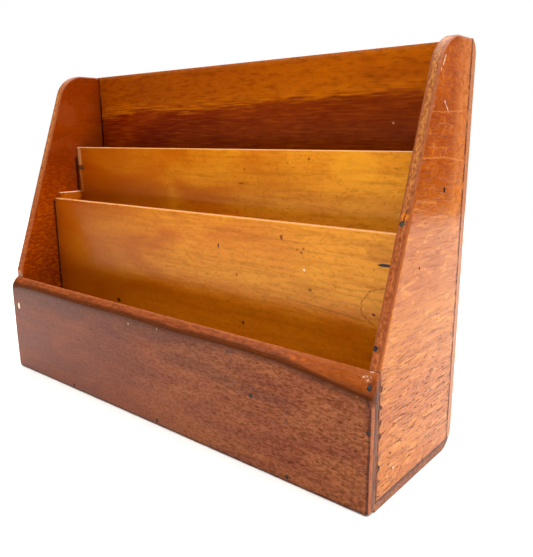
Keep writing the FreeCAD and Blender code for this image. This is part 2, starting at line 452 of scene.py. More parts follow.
class Nodes:
    """Node tree of a material or of the world, with short names for the steps that the finishes share. Places
    and sizes are in millimetres, and colour is the colour so far."""

    def __init__(self, owner, grain=0):
        self.owner = owner
        owner.use_nodes = True
        self.tree = owner.node_tree
        self.tree.nodes.clear()
        self.grain = grain
        self.colour = None
        self.shaken = None
        coordinates = self.node("TexCoord")
        self.direction = coordinates.outputs["Generated"]
        self.place = self.vector("MULTIPLY", coordinates.outputs["Object"], [1 / MM] * 3)
        self.x, self.y, self.z = self.node("SeparateXYZ", {0: self.place}).outputs
        normal = self.node("SeparateXYZ", {0: coordinates.outputs["Normal"]})
        self.facing_x, self.facing_y, self.facing_z = normal.outputs

    def node(self, kind, inputs=(), **settings):
        made = self.tree.nodes.new("ShaderNode" + kind)
        for key, value in settings.items():
            setattr(made, key, value)
        for socket, value in dict(inputs).items():
            self.feed(made.inputs[socket], value)
        return made

    def feed(self, socket, value):
        if isinstance(value, bpy.types.NodeSocket):
            self.tree.links.new(value, socket)
        else:
            socket.default_value = value

    def math(self, operation, first, *others):
        """A sum, a product or the like, taken through the values one after another."""
        for other in others or (0.0,):
            first = self.node("Math", {0: first, 1: other}, operation=operation).outputs[0]
        return first

    def plus(self, *values):
        return self.math("ADD", *values)

    def times(self, *values):
        return self.math("MULTIPLY", *values)

    def most(self, *values):
        return self.math("MAXIMUM", *values)

    def size(self, value):
        return self.math("ABSOLUTE", value)

    def minus(self, first, second):
        return self.math("SUBTRACT", first, second)

    def less(self, value):
        """1 minus a value."""
        return self.minus(1.0, value)

    def band(self, value, low, high):
        """0 below low, 1 above high, smooth between."""
        inputs = {"Value": value, "From Min": low, "From Max": high}
        return self.node("MapRange", inputs, interpolation_type="SMOOTHSTEP").outputs[0]

    def near(self, value, level, full, none):
        """1 where a value is nearer to a level than the full distance, fading to 0 at the other."""
        return self.less(self.band(self.size(self.minus(value, level)), full, none))

    def vector(self, operation, *values, result=0):
        return self.node("VectorMath", dict(enumerate(values)), operation=operation).outputs[result]

    def figure(self, sizes, detail=2.0, warp=0.0, seed=0.0):
        """Noise with features of those sizes along X, Y and Z."""
        scaled = self.vector("MULTIPLY", self.place, [1 / size for size in sizes])
        shifted = self.vector("ADD", scaled, [seed] * 3)
        inputs = {"Vector": shifted, "Scale": 1.0, "Detail": detail, "Distortion": warp}
        return self.node("TexNoise", inputs).outputs["Fac"]

    def fibre(self, length, width, detail=2.0, warp=0.0, seed=0.0):
        """Noise drawn out along the grain, with features of that length and width."""
        sizes = [width] * 3
        sizes[self.grain] = length
        return self.figure(sizes, detail, warp, seed)

    def mix(self, share, first, second):
        made = self.node("Mix", data_type="RGBA")
        self.feed(made.inputs[0], share)
        self.feed(made.inputs[6], first)
        self.feed(made.inputs[7], second)
        return made.outputs[2]

    def tint(self, mask, strength, shade):
        """Lays a shade at that strength over the colour so far, where the mask is."""
        self.colour = self.mix(self.times(mask, strength), self.colour, shade)

    def mark(self, name):
        return self.node("Attribute", attribute_name=name).outputs["Fac"]

    def weather(self, worn, dirty_and_shaded, broken=(0.25, 0.55)):
        """Rubbed arrises, and dirty seams with painted shade where a board's marks put it; noise over the
        broken range breaks up that darkening.
        """
        patchy = self.figure((1.6, 1.6, 1.6), 3.0)
        self.tint(self.mark("wear"), self.band(patchy, 0.2, 0.6), worn)
        self.tint(self.mark("dirt_and_shade"), self.band(patchy, *broken), dirty_and_shaded)

    def ragged(self):
        """The place on the surface, shaken a little by noise, so that single marks get uneven outlines."""
        if not self.shaken:
            shake = self.node("TexNoise", {"Vector": self.place, "Scale": 1 / SHAKE, "Detail": 2.0})
            centred = self.vector("SUBTRACT", shake.outputs["Color"], [0.5] * 3)
            small = self.vector("MULTIPLY", centred, [SHAKE] * 3)
            self.shaken = self.vector("ADD", self.place, small)
        return self.shaken

    def spot(self, middle, sizes, softness=0.4):
        """1 inside an oval spot with those half sizes, fading to 0 at its rim."""
        centred = self.vector("SUBTRACT", self.ragged(), middle)
        scaled = self.vector("MULTIPLY", centred, [1 / size for size in sizes])
        return self.less(self.band(self.vector("LENGTH", scaled, result="Value"), 1 - softness, 1.0))

    def stroke(self, first, last, width):
        """1 on a straight stroke between two points, fading to 0 at half its width."""
        run = Vector(last) - Vector(first)
        out = self.vector("SUBTRACT", self.ragged(), first)
        share = self.times(self.vector("DOT_PRODUCT", out, run, result="Value"), 1 / run.length_squared)
        share = self.math("MINIMUM", self.most(share, 0.0), 1.0)
        along = self.node("VectorMath", {0: run, "Scale": share}, operation="SCALE").outputs[0]
        away = self.vector("DISTANCE", out, along, result="Value")
        return self.less(self.band(away, 0.2 * width, 0.5 * width))

    def spots(self, axis, level, rows):
        """Spots on a flat face: each row has middle and half sizes along the face, shade and strength."""
        for u, v, half_u, half_v, shade, strength in rows:
            sizes = on_plane(axis, SPOT_DEPTH, half_u, half_v)
            self.tint(self.spot(on_plane(axis, level, u, v), sizes), strength, shade)

    def path(self, axis, level, points, width, shade, strength):
        """Strokes that join points of a flat face one after another."""
        ends = [on_plane(axis, level, u, v) for u, v in points]
        for first, last in zip(ends, ends[1:]):
            self.tint(self.stroke(first, last, width), strength, shade)

    def finish(self, roughness, height, depth, gloss=0.5, metal=0.0):
        """Surface in the colour so far, with roughness, bumps and their depth, gloss and share of metal."""
        bump = self.node("Bump", {"Height": height, "Distance": depth * MM, "Strength": 1.0})
        inputs = {"Base Color": self.colour, "Roughness": roughness, "Normal": bump.outputs[0]}
        inputs.update({"Specular IOR Level": gloss, "Metallic": metal})
        surface = self.node("BsdfPrincipled", inputs)
        self.node("OutputMaterial", {"Surface": surface.outputs[0]})
        return self.owner


def on_plane(axis, level, first, second):
    """Three values, the one along the axis given by the level."""
    values = [first, second]
    values.insert(axis, level)
    return values


def rgb(red, green, blue):
    """Linear colour from the 0 to 255 numbers of a picture."""
    linear = []
    for value in (red, green, blue):
        share = value / 255
        linear.append(share / 12.92 if share <= 0.04045 else ((share + 0.055) / 1.055) ** 2.4)
    return (*linear, 1.0)


def oak_material():
    """Quarter-sawn oak, grain from front to back: dark pores and gold ray flecks low down, pale cracks and a
    redder stain higher up, mottled amber inside the rack, golden end grain on the sloping edge, a painted
    sheen on the upper rear of the outer face, a painted highlight along the outer arris by the shoulder and
    painted shadow beside the dividers on the left side's inner face."""
    s = Nodes(bpy.data.materials.new("polished_oak"), grain=1)
    from_middle = s.size(s.x)
    outside = s.band(from_middle, 126, 129)
    inside = s.less(outside)
    upper = s.band(s.z, 98, 140)
    broad = s.fibre(60, 20, 3.0, 0.3)
    streak = s.fibre(24, 1.6, 4.0, 0.3)
    dashes = s.fibre(7, 0.9, 3.0, 0.4)

    tone = s.band(broad, 0.3, 0.7)
    faded = s.mix(tone, rgb(192, 102, 18), rgb(206, 120, 32))
    stained = s.mix(tone, rgb(164, 70, 0), rgb(188, 88, 2))
    inner = s.mix(tone, rgb(134, 44, 0), rgb(156, 60, 0))
    s.colour = s.mix(outside, inner, s.mix(upper, faded, stained))
    s.tint(s.band(streak, 0.42, 0.75), 0.4, rgb(146, 60, 12))
    dashed = s.band(dashes, 0.5, 0.68)
    s.tint(dashed, 0.35, rgb(120, 48, 12))
    mottle = s.figure((20, 4, 3), 4.0, 0.6, 7.0)
    stain = s.times(upper, outside)
    s.tint(s.times(s.band(mottle, 0.5, 0.72), stain), 0.4, rgb(132, 50, 0))
    s.tint(s.times(s.less(s.band(mottle, 0.28, 0.48)), stain), 0.35, rgb(226, 130, 40))

    flecks = s.times(s.band(s.fibre(10, 2.4, 2.0, 0.6, 5.0), 0.56, 0.66), outside, s.less(upper))
    s.tint(flecks, 0.35, rgb(244, 164, 72))
    amber = s.times(s.band(s.fibre(3.2, 1.3, 3.0, 0.5, 8.0), 0.42, 0.7), inside)
    s.tint(amber, s.plus(0.1, s.times(s.less(upper), 0.45)), rgb(206, 92, 4))
    bloom = s.times(s.band(s.figure((20, 12, 12), 2.0, 0.5, 6.0), 0.5, 0.7), inside, upper)
    s.tint(bloom, 0.15, rgb(176, 92, 56))

    rings = s.band(s.fibre(160, 9, 2.0, 0.3, 3.0), 0.34, 0.52)
    long_pores = s.times(s.band(s.fibre(9, 0.55, 1.0, 0.15), 0.60, 0.66), rings)
    short_pores = s.band(s.fibre(3.6, 0.75, 1.0, 0.2, 2.0), 0.645, 0.69)
    lower = s.less(s.band(s.z, 34, 86))
    pores = s.times(s.most(long_pores, short_pores), s.plus(0.32, s.times(lower, 0.68)))
    pores = s.times(pores, s.plus(0.2, s.times(outside, 0.8)))
    s.tint(pores, 0.8, rgb(98, 38, 8))
    # Painted sheen: a lighter salmon patch over the upper rear of the outer face.
    higher_up = s.times(s.band(s.z, 84, 104), outside)
    sheen_patch = s.times(s.band(s.y, 17, 27), s.band(mottle, 0.3, 0.6))
    s.tint(s.times(sheen_patch, higher_up), 0.45, rgb(240, 146, 64))

    from_front = s.minus(s.y, SIDE_FRONT / MM)
    at_foot = s.times(s.less(s.band(s.z, 55, 58)), outside)
    strip = s.times(s.less(s.band(from_front, 1.1, 1.7)), at_foot)
    near_strip = s.near(from_front, 1.8, 0.6, 1.3)
    notches = s.times(s.band(s.figure((2.6, 2.6, 2.8), 1.0, 0.0, 3.0), 0.52, 0.58), near_strip, at_foot)
    s.tint(strip, 0.75, s.mix(streak, rgb(122, 68, 44), rgb(156, 96, 66)))
    s.tint(notches, 0.9, rgb(48, 24, 16))
    seam_waver = s.times(s.figure((3, 3, 5), 2.0, 0.0, 9.0), 1.2)
    rear_seam = s.near(s.plus(s.y, seam_waver), SIDE_REAR / MM + 0.1, 0.5, 1.9)
    rear_seam = s.times(rear_seam, outside, s.band(s.figure((3, 3, 3.5), 2.0, 0.0, 2.0), 0.3, 0.55))
    s.tint(rear_seam, 0.85, rgb(88, 34, 16))

    edge = s.less(s.band(s.size(s.facing_x), 0.3, 0.7))
    across = s.minus(from_middle, SIDE_INNER / MM)
    core = s.times(s.band(across, 0.8, 1.8), s.less(s.band(across, 3.0, 4.0)))
    speckle = s.band(s.figure((0.9, 1.2, 1.8), 3.0, 0.3), 0.34, 0.64)
    golden = s.mix(speckle, rgb(144, 80, 38), rgb(194, 122, 64))
    brown = s.mix(speckle, rgb(132, 64, 32), rgb(176, 98, 52))
    end_grain = s.mix(s.times(s.less(core), 0.55), s.mix(upper, brown, golden), rgb(128, 66, 44))
    s.colour = s.mix(edge, s.colour, end_grain)
    s.weather(rgb(160, 86, 48), rgb(70, 32, 20))

    outer_face = HALF_WIDTH / MM
    outer_arris = outer_face - 0.4
    left_face = -SIDE_INNER / MM
    scratch_and_highlight_white = rgb(255, 232, 200)
    crack = rgb(236, 150, 76)
    gap = rgb(24, 9, 2)
    s.spots(0, outer_face, (
        (-32.1, 33.2, 0.9, 1.1, rgb(96, 54, 34), 0.8),
        (-19.4, 13.5, 0.8, 0.7, rgb(255, 236, 200), 0.5),
        (33.8, 13.0, 1.0, 1.0, rgb(88, 88, 86), 0.9),
    ))
    s.tint(s.spot((127.5, -14.6, 114.8), (2, 3, 1.6)), 0.7, rgb(216, 120, 30))
    s.path(0, outer_face, ((9.8, 157.3), (13.1, 153.9)), 0.7, scratch_and_highlight_white, 0.6)
    cracks = (
        (0.8, 0.25, ((-3.1, 140.1), (14.3, 139.8))),
        (1.4, 0.3, ((-10.1, 120.3), (6.9, 118.4))),
        (1.2, 0.25, ((2.1, 112.9), (19.5, 111.5))),
        (0.8, 0.3, ((-1.8, 153.2), (13.2, 153.5), (30.1, 154.3))),
        (0.8, 0.25, ((4.1, 148.4), (11.0, 149.1), (19.9, 147.6))),
        (0.9, 0.4, ((-6.9, 136.1), (12.0, 135.9), (31.4, 134.1))),
    )
    for width, strength, points in cracks:
        s.path(0, outer_face, points, width, crack, strength)
    # Painted highlight along the outer arris by the shoulder, in the same pale colour as the scratch above.
    s.path(0, outer_arris, ((8.3, 174.1), (5.2, 168.5)), 1.3, scratch_and_highlight_white, 0.7)
    s.path(0, outer_arris, ((5.2, 168.5), (-0.4, 153.3)), 0.8, scratch_and_highlight_white, 0.3)
    # Painted shadow on the left side's inner face, in the corners beside the two dividers' left ends.
    s.path(0, left_face, ((12.2, 131), (12.4, 111)), 2.2, gap, 0.85)
    s.path(0, left_face, ((-6.4, 105), (-6.2, 42)), 1.8, gap, 0.75)
    s.tint(s.stroke((127.3, -15.2, 112.6), (127.8, -13.6, 117.4), 0.9), 0.9, rgb(46, 22, 12))
    bumps = s.minus(s.plus(s.times(streak, 0.5), s.times(dashes, 0.4)), pores)
    roughness = s.plus(0.09, s.times(broad, 0.09))
    matt = s.most(s.times(s.most(pores, rear_seam, strip, notches), 0.85), s.times(dashed, 0.45))
    return s.finish(roughness, bumps, 0.05, gloss=s.times(s.less(matt), 0.26))


def front_material():
    """Red-brown hardwood with a fine wavy ripple, duller to the left, curly at its right end, with a lighter
    planed bevel, a dark arris below it, painted shade on the face under the bevel and a dark line beside the
    rounded right end."""
    s = Nodes(bpy.data.materials.new("red_hardwood"))
    rightward = s.band(s.x, -75, 115)
    broad = s.fibre(60, 13, 3.0, 0.6)
    wavy = s.fibre(2.2, 0.9, 2.0, 0.7)
    streak = s.fibre(22, 1.5, 4.0, 0.5)
    lively = s.plus(0.35, s.times(rightward, 0.65))
    rippled = s.times(s.band(wavy, 0.42, 0.6), lively)
    pores = s.times(s.band(s.fibre(3.4, 0.8, 1.0, 0.4, 4.0), 0.6, 0.7), lively)
    curl = s.times(s.band(s.figure((2.4, 5, 7), 1.0, 0.8), 0.44, 0.62), s.band(s.x, 100, 128))

    tone = s.band(broad, 0.35, 0.65)
    dull = s.mix(tone, rgb(112, 48, 18), rgb(126, 58, 22))
    warm = s.mix(tone, rgb(134, 63, 25), rgb(156, 86, 39))
    s.colour = s.mix(rightward, dull, warm)
    s.tint(rippled, 0.48, rgb(76, 28, 12))
    s.tint(s.times(s.band(streak, 0.52, 0.72), lively), 0.3, rgb(170, 92, 38))
    s.tint(curl, 0.35, rgb(80, 30, 12))
    s.tint(pores, 0.4, rgb(54, 18, 10))
    drift = s.times(s.fibre(30, 8, 3.0, 0.6, 7.0), 22)
    smoky = s.times(s.band(s.plus(s.z, drift), 48, 64), s.less(s.band(s.x, 0.0, 95)))
    s.tint(smoky, 0.5, rgb(66, 34, 22))

    bevel = s.band(s.facing_z, 0.28, 0.42)
    arris = s.times(s.band(s.facing_z, 0.03, 0.15), s.less(bevel))
    s.tint(arris, s.plus(0.3, s.times(rightward, 0.5)), rgb(58, 24, 4))
    planed = s.mix(s.band(s.fibre(4, 1.4, 3.0, 0.6), 0.35, 0.65), rgb(110, 48, 14), rgb(146, 70, 26))
    planed = s.mix(s.times(s.band(s.x, 60, 110), 0.5), planed, rgb(158, 76, 18))
    s.colour = s.mix(bevel, s.colour, planed)
    end = s.band(s.facing_x, 0.7, 0.95)
    fine_end = s.band(s.figure((3, 0.8, 5), 3.0), 0.35, 0.65)
    grey_end = s.mix(fine_end, rgb(96, 52, 36), rgb(146, 92, 64))
    pale_end = s.mix(fine_end, rgb(120, 62, 40), rgb(176, 106, 70))
    s.colour = s.mix(end, s.colour, s.mix(s.band(s.y, -35.9, -35.3), pale_end, grey_end))
    # On this board the dirt_and_shade mark is mostly painted shade on the face under the bevel.
    s.weather(rgb(176, 98, 56), rgb(80, 36, 10), (0.15, 0.45))
    groove = s.times(s.near(s.y, -35.8, 0.2, 0.5), s.band(s.facing_x, 0.5, 0.8))
    s.tint(groove, 0.7, rgb(70, 32, 22))
    foot = s.less(s.band(s.z, 0.8, 2.0))
    s.tint(foot, 0.65, rgb(46, 26, 14))
    waver = s.times(s.figure((20, 20, 12), 2.0), 1.2)
    bend = s.times(s.band(s.z, 43, 51), 2.0)
    line = s.near(s.plus(s.x, waver, bend), 129.8, 0.2, 1.0)
    line = s.times(line, s.less(s.band(s.z, 48, 51)), s.less(s.band(s.facing_y, -0.8, -0.5)))
    s.tint(line, 0.75, rgb(58, 24, 20))

    face = FRONT_LOW.y / MM
    slate = rgb(30, 30, 34)
    cream = rgb(250, 226, 196)
    streak_brown = rgb(76, 28, 14)
    s.spots(1, face, (
        (69.9, 34.3, 1.5, 1.3, slate, 1.0),
        (64.6, 35.7, 0.8, 0.7, slate, 0.7),
        (-123.6, 41.2, 1.4, 2.4, cream, 0.95),
        (57.2, 51.7, 2.6, 1.3, rgb(70, 54, 48), 0.6),
        (69.0, 36.5, 30, 3.5, streak_brown, 0.35),
        (34.0, 39.5, 34, 4.5, streak_brown, 0.35),
        (8.8, 52.6, 0.4, 0.6, cream, 0.35),
        (-13.3, 51.1, 0.4, 0.5, cream, 0.35),
    ))
    for x, z in ((91.3, 56.3), (96.3, 56.7)):
        s.tint(s.spot((x, -36, z), (1.6, 2, 1.0)), 0.45, rgb(196, 98, 24))
    s.tint(s.spot((128.4, -36, 53.5), (2.2, 3, 4)), 0.45, rgb(104, 44, 20))
    s.path(1, face, ((89.8, 33.2), (89.6, 31.4)), 1.0, slate, 0.6)
    s.path(1, face, ((89.8, 29.0), (90.0, 27.2)), 1.0, slate, 0.6)
    s.tint(s.stroke((126.3, -33.8, 58.4), (129.1, -33.4, 58.9), 0.9), 0.35, cream)
    flakes = s.band(s.figure((0.8, 0.8, 0.6), 2.0, 0.0, 5.0), 0.48, 0.6)
    chipped = s.times(s.spot((125.2, -35, 56), (3.2, 2.5, 1.6), 0.7), flakes)
    s.tint(chipped, 0.45, cream)
    bumps = s.minus(s.plus(s.times(streak, 0.4), s.times(wavy, 0.5)), s.times(pores, 0.6))
    roughness = s.plus(0.28, s.times(broad, 0.16))
    matt = s.most(s.times(s.most(pores, arris), 0.8), s.times(rippled, 0.6), s.times(s.mark("dirt_and_shade"), 0.6))
    return s.finish(roughness, bumps, 0.22, gloss=s.times(s.less(matt), 0.26))


def divider_material():
    """Honey-coloured, mottled wood with flowing grain and brown specks, with painted shade to the left and
    low down, a painted sheen higher up, and painted light and a painted highlight on the left spacer.
    """
    s = Nodes(bpy.data.materials.new("honey_wood"))
    broad = s.fibre(60, 22, 3.0, 0.6)
    streak = s.fibre(30, 2.2, 4.0, 0.4)
    mottle = s.fibre(3.6, 1.5, 3.0, 0.6)
    flow = s.near(s.fibre(150, 15, 1.5, 0.5, 2.0), 0.5, 0.0, 0.016)
    clusters = s.band(s.figure((24, 24, 12), 2.0, 0.0, 3.0), 0.42, 0.6)
    rightward = s.band(s.x, -90, 60)
    specks = s.band(s.figure((1.5, 1.5, 1.3), 1.0), 0.675, 0.74)
    specks = s.times(specks, s.plus(0.3, s.times(clusters, 0.7)), s.plus(0.35, s.times(rightward, 0.65)))
    left = s.less(s.band(s.plus(s.x, s.times(broad, 60)), -110, 60))
    higher_up = s.band(s.z, 58, 76)
    s.colour = s.mix(s.band(broad, 0.3, 0.7), rgb(208, 108, 6), rgb(232, 147, 22))
    # Painted sheen higher up towards the right, and painted shade lower down where the front board's top edge
    # shades the dividers.
    s.tint(s.times(s.band(s.x, -20, 120), higher_up), 0.5, rgb(243, 171, 50))
    s.tint(s.less(higher_up), 0.6, rgb(206, 92, 0))
    # Painted shade towards the left end, where the left side shades the dividers.
    s.tint(left, 0.95, rgb(146, 56, 0))
    s.tint(s.band(streak, 0.4, 0.75), 0.4, rgb(172, 82, 0))
    mottled = s.band(mottle, 0.46, 0.66)
    s.tint(mottled, 0.24, rgb(146, 74, 6))
    s.tint(s.times(flow, higher_up), 0.16, rgb(120, 56, 4))
    s.tint(specks, 0.45, rgb(104, 44, 4))
    cut = s.band(s.facing_z, 0.7, 0.95)
    s.colour = s.mix(cut, s.colour, s.mix(streak, rgb(196, 126, 62), rgb(240, 194, 146)))
    s.weather(rgb(222, 156, 92), rgb(84, 34, 6))

    front_face = FRONT_DIVIDER_FACE / MM
    rear_face = REAR_DIVIDER_FACE / MM
    dark = rgb(64, 26, 6)
    brown = rgb(122, 58, 10)
    s.spots(1, front_face, (
        (21.5, 91, 0.8, 1.5, dark, 0.9),
        (-63.3, 48.5, 2.0, 1.6, dark, 0.9),
        (111.2, 71.4, 1.0, 0.9, rgb(110, 24, 2), 1.0),
        (74.9, 85.5, 0.9, 0.8, rgb(250, 226, 190), 0.85),
        (61.9, 99.3, 1.0, 1.6, brown, 0.9),
        (71.0, 94.6, 0.8, 0.6, brown, 0.8),
        (73.4, 93.4, 0.9, 0.5, brown, 0.8),
        (74.6, 95.2, 0.7, 0.5, brown, 0.8),
        (78.4, 76.9, 1.0, 0.9, dark, 0.7),
        (37.5, 53.7, 1.3, 1.1, dark, 0.8),
        (33.8, 77.9, 0.8, 0.9, brown, 0.8),
        (113, 97.5, 8, 5, rgb(160, 84, 16), 0.35),
    ))
    s.spots(1, rear_face, (
        (23.1, 128.2, 0.8, 0.7, dark, 0.9),
        (20.9, 120.8, 2.6, 0.5, dark, 0.8),
        (63.7, 134.0, 0.9, 0.8, brown, 0.8),
        (88, 131, 16, 9, rgb(246, 170, 40), 0.4),
        (12, 122, 62, 16, rgb(166, 84, 4), 0.3),
    ))
    # Painted light on the left spacer's shaded inner face, and a painted highlight along its top.
    s.tint(s.spot((-121.4, 4.7, 107), (2, 9, 4)), 0.85, rgb(244, 126, 12))
    s.tint(s.spot((-123.2, 4.7, 110), (3, 10, 0.9)), 0.85, rgb(255, 238, 214))
    s.path(1, rear_face, ((-122.6, 137.2), (-122.0, 128.2)), 7.0, rgb(206, 146, 92), 0.65)
    s.path(1, rear_face, ((-121.6, 122.6), (-120.6, 110.5)), 4.4, rgb(190, 112, 44), 0.5)
    s.path(1, rear_face, ((-124.6, 126.2), (-119.0, 126.0)), 1.4, rgb(60, 24, 8), 0.8)
    ring = ((120, 83.8), (114.5, 83.2), (109, 81), (105.3, 76.1), (104.9, 72.5), (107, 69.3), (111.4, 66.6))
    flow_line = ((64.5, 71), (81.6, 69.7), (99.5, 68.4), (107.5, 67.6))
    upper_line = ((82.5, 82.3), (92, 80.6), (99.2, 80.4), (109, 81))
    for points, strength in ((ring, 0.4), (flow_line, 0.35), (upper_line, 0.25)):
        s.path(1, front_face, points, 1.1, brown, strength)
    bumps = s.minus(s.plus(s.times(streak, 0.4), s.times(mottle, 0.4)), s.times(specks, 0.6))
    roughness = s.plus(0.17, s.times(broad, 0.1))
    matt = s.most(s.times(specks, 0.8), s.times(mottled, 0.35))
    sheen = s.plus(0.11, s.times(rightward, 0.09))
    return s.finish(roughness, bumps, 0.06, gloss=s.times(s.less(matt), sheen))


def back_material():
    """Dark stained back, mottled in short strands, with a paler amber band at its top and paler cut ends."""
    s = Nodes(bpy.data.materials.new("dark_stained_wood"))
    broad = s.fibre(46, 16, 3.0, 0.6)
    mottle = s.fibre(6, 1.6, 4.0, 0.4)
    strands = s.fibre(15, 1.0, 4.0, 0.3, 6.0)
    waver = s.plus(s.times(s.fibre(50, 30, 3.0), 10), s.times(s.fibre(12, 1.4, 3.0, 0.3), 5))
    level = s.plus(s.z, waver, s.times(s.x, -0.027))
    paler = s.band(level, 167, 172.5)
    rim = s.times(s.band(level, 166, 170), s.less(s.band(level, 171, 177)))
    rightward = s.band(s.x, -HALF_WIDTH / MM, HALF_WIDTH / MM)
    dark = s.mix(s.band(broad, 0.3, 0.7), rgb(106, 22, 0), rgb(134, 42, 0))
    dark = s.mix(s.times(rightward, 0.5), dark, rgb(132, 54, 0))
    amber = s.mix(rightward, rgb(150, 66, 0), rgb(188, 94, 0))
    amber = s.mix(s.times(s.band(broad, 0.35, 0.75), 0.5), amber, rgb(140, 54, 0))
    s.colour = s.mix(paler, dark, amber)
    s.tint(s.band(mottle, 0.4, 0.72), 0.45, rgb(96, 26, 0))
    s.tint(s.band(strands, 0.45, 0.75), 0.4, rgb(176, 82, 0))
    s.tint(s.times(rim, s.band(strands, 0.4, 0.7)), 0.55, rgb(212, 116, 4))
    end = s.band(s.size(s.facing_x), 0.5, 0.9)
    s.colour = s.mix(end, s.colour, s.mix(strands, rgb(170, 92, 44), rgb(206, 128, 76)))
    s.weather(rgb(206, 120, 56), rgb(52, 20, 6))
    face = SIDE_REAR / MM
    s.spots(1, face, ((95.1, 150.1, 0.8, 0.6, rgb(190, 160, 130), 0.6),))
    s.path(1, face, ((-124.8, 182), (-124.6, 168)), 1.4, rgb(60, 22, 6), 0.7)
    s.path(1, face, ((-124.6, 168), (-124.2, 138)), 2.2, rgb(20, 6, 2), 0.9)
    roughness = s.plus(0.18, s.times(broad, 0.10))
    return s.finish(roughness, s.plus(mottle, strands), 0.05, gloss=0.3)


def base_material():
    """Plain base board, dull stain over a coarse grain, with speckled ends and a ragged dark seam above."""
    s = Nodes(bpy.data.materials.new("dull_stained_wood"))
    broad = s.fibre(60, 18, 3.0)
    streak = s.fibre(38, 2.6, 4.0)
    s.colour = s.mix(s.band(broad, 0.3, 0.7), rgb(132, 64, 30), rgb(156, 84, 44))
    s.tint(s.band(streak, 0.45, 0.8), 0.5, rgb(112, 52, 24))
    end = s.band(s.size(s.facing_x), 0.5, 0.9)
    speckle = s.band(s.figure((1.2, 1.6, 1.0), 3.0, 0.3), 0.36, 0.62)
    s.colour = s.mix(end, s.colour, s.mix(speckle, rgb(112, 58, 30), rgb(164, 98, 58)))
    ragged = s.times(s.figure((3, 3, 3), 3.0), 2.4)
    seam = s.band(s.plus(s.z, ragged), 4.2, 5.2)
    s.tint(seam, 0.75, rgb(74, 30, 12))
    s.weather(rgb(196, 122, 76), rgb(60, 28, 14))
    roughness = s.plus(0.45, s.times(broad, 0.2))
    return s.finish(roughness, streak, 0.1)


def iron_material():
    """Dark iron nail, blue-grey where it is bare, rusty in patches and paler at the split edge."""
    s = Nodes(bpy.data.materials.new("dark_iron"))
    patchy = s.figure((1.1, 1.1, 1.1), 3.0)
    rust = s.band(patchy, 0.52, 0.66)
    s.colour = s.mix(rust, rgb(52, 54, 58), rgb(76, 40, 24))
    s.tint(s.spot((127, -15.4, 112), (3, 3, 3)), 0.8, rgb(96, 96, 78))
    roughness = s.plus(0.45, s.times(rust, 0.4))
    return s.finish(roughness, patchy, 0.05, metal=0.5)


def pit_material():
    """Dirt and old stain inside nail pits."""
    s = Nodes(bpy.data.materials.new("pit_dirt"))
    patchy = s.figure((0.8, 0.8, 0.8), 3.0)
    s.colour = s.mix(patchy, rgb(16, 8, 6), rgb(56, 26, 14))
    return s.finish(0.8, patchy, 0.1)


pit_dirt = pit_material()
iron = iron_material()
oak = oak_material()
front_wood = front_material()
honey = divider_material()
dark_wood = back_material()
base_wood = base_material()


# Boards

BOTTOM_CORNER = Vector((REAR - REAR_BOTTOM_RADIUS, REAR_BOTTOM_RADIUS))
TOP_CORNER = Vector((REAR - REAR_TOP_RADIUS, TOP - REAR_TOP_RADIUS))
BASE_TOP_ANGLE = math.asin((SIDE_FOOT - REAR_BOTTOM_RADIUS) / REAR_BOTTOM_RADIUS)
BACK_INNER_ANGLE = math.acos((SIDE_REAR - TOP_CORNER.x) / REAR_TOP_RADIUS)


def side(node, outer_x, inner_x, knee, rub, cutters):
    """Side panel: sloping front edge and rounded shoulder, rubbed on open edges and ragged at its seams."""
    corners = [
        Vector((SIDE_FRONT, SIDE_FOOT)),
        Vector((SIDE_REAR, SIDE_FOOT)),
        TOP_CORNER + Vector((math.cos(BACK_INNER_ANGLE), math.sin(BACK_INNER_ANGLE))) * REAR_TOP_RADIUS,
        Vector((TOP_CORNER.x, TOP)),
        Vector((SHOULDER, TOP)),
        Vector((SIDE_FRONT, knee)),
    ]
    turn = (corners[5] - corners[4]).angle(Vector((1, 0)))
    reaches = [SIDE_CORNER] * len(corners)
    reaches[4] = SHOULDER_RADIUS / math.tan(turn / 2)

    def arris(point):
        rough = ripple(point, 9 * MM)
        on_front = point.x < SIDE_FRONT + SIDE_CORNER and point.y < KNEE
        on_rear = point.x > SIDE_REAR - SIDE_CORNER
        on_foot = point.y < SIDE_FOOT + SIDE_CORNER
        if on_front or on_rear or on_foot:
            tick = smooth_step(0.0, 0.3, ripple(point, 1.2 * MM, 7.0)) * (0.8 + 0.8 * rough)
            deepest = REAR_SEAM_TICK if on_rear else FRONT_SEAM_TICK
            return SEAM_ARRIS + deepest * tick, TIGHT_ARRIS, 0.0, 0.8 + 0.2 * tick
        near_shoulder = math.exp(-((point.y - SHOULDER_WEAR_HEIGHT) / SHOULDER_WEAR_REACH) ** 2)
        uneven = 0.3 * rough + 0.4 * near_shoulder + 0.5 * chips(point, 2.2 * MM, 2.0)
        return (OUTER_ARRIS + uneven * MM) * rub, INNER_ARRIS + 0.25 * MM * rough, 1.0, 0.0

    def place(u, v, w):
        return Vector((w, u, v))

    mesh = slab(node, corners, reaches, place, (outer_x, inner_x), arris, SHOULDER_STEPS)
    board(node, mesh, oak, cutters)


